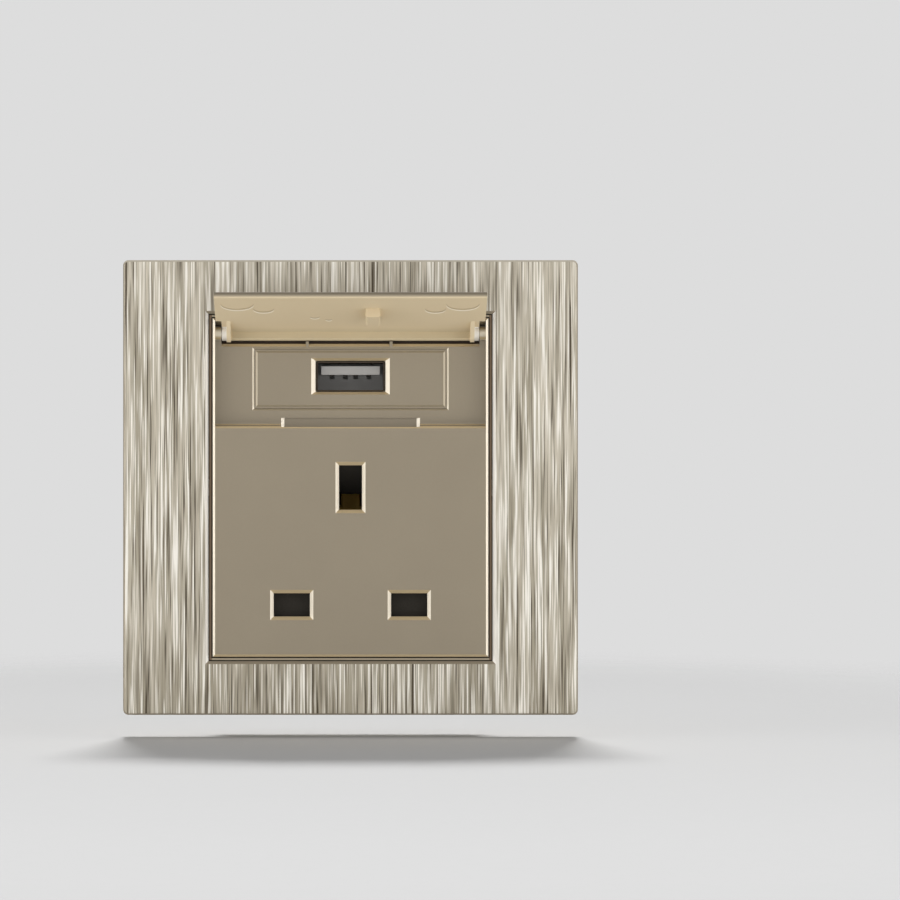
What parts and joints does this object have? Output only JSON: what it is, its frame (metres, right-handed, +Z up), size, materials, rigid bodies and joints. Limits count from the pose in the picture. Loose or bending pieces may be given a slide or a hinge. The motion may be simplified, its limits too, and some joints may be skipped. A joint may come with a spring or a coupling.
{
  "type": "usb wall socket",
  "caption": "Square brushed wall plate with a rectangular-pin mains outlet, a shutter behind its pin holes, and a charging port under a flip-up lid.",
  "frame": {"origin": "middle of the plate on the wall plane, midway between the two fixing holes", "axes": "+X to the right and +Z up as one faces the plate, +Y into the wall"},
  "size_m": [0.086, 0.0412, 0.086],
  "materials": {
    "brushed_champagne": "brushed vertically, champagne tint",
    "satin_champagne": "fine satin, champagne paint",
    "light_champagne": "satin, the lid's paler moulding",
    "yoke_moulding": "satin moulded",
    "housing_moulding": "fine spark-eroded texture",
    "shutter_moulding": "smooth charcoal nylon",
    "inner_moulding": "moulded dark grey",
    "bright_steel": "tin-plated sheet",
    "spring_steel": "drawn wire",
    "tongue_moulding": "white moulded",
    "gilt_leaf": "gold flash",
    "contact_brass": "stamped",
    "zinc_screw": "zinc plated",
    "board_laminate": "green solder mask",
    "ferrite": "sintered",
    "winding_tape": "polyester tape",
    "capacitor_sleeve": "shrink sleeve",
    "chip_epoxy": "moulded epoxy"
  },
  "bodies": {
    "base": {"trim_frame": "brushed_champagne", "mounting_yoke": "yoke_moulding", "socket_face": "satin_champagne", "usb_fascia": "satin_champagne", "usb_shell": "bright_steel", "usb_insulator": "tongue_moulding", "usb_contacts": "gilt_leaf", "shutter_spring": "spring_steel", "contact_cover": "inner_moulding", "rear_housing": "housing_moulding", "live_contact": "contact_brass", "neutral_contact": "contact_brass", "earth_contact": "contact_brass", "live_terminal": "contact_brass", "neutral_terminal": "contact_brass", "earth_terminal": "contact_brass", "terminal_screws": "zinc_screw", "housing_screws": "zinc_screw", "usb_board": "board_laminate", "transformer_core": "ferrite", "transformer_winding": "winding_tape", "input_capacitor": "capacitor_sleeve", "output_capacitor": "capacitor_sleeve", "control_chip": "chip_epoxy"},
    "lid": {"usb_lid": "light_champagne"},
    "shutter": {"pin_shutter": "shutter_moulding"}
  },
  "joints": [
    {"name": "lid_hinge", "type": "hinge", "parent": "base", "child": "lid", "pos_m": [0, -0.0071, 0.0292], "axis": [1, 0, 0], "range_deg": [0, 108]},
    {"name": "shutter_slide", "type": "slide", "parent": "base", "child": "shutter", "axis": [0, 0, 1], "range_m": [0, 0.0054], "stiffness_N_per_m": 120, "springref_m": -0.006, "deforming": ["shutter_spring"]}
  ]
}
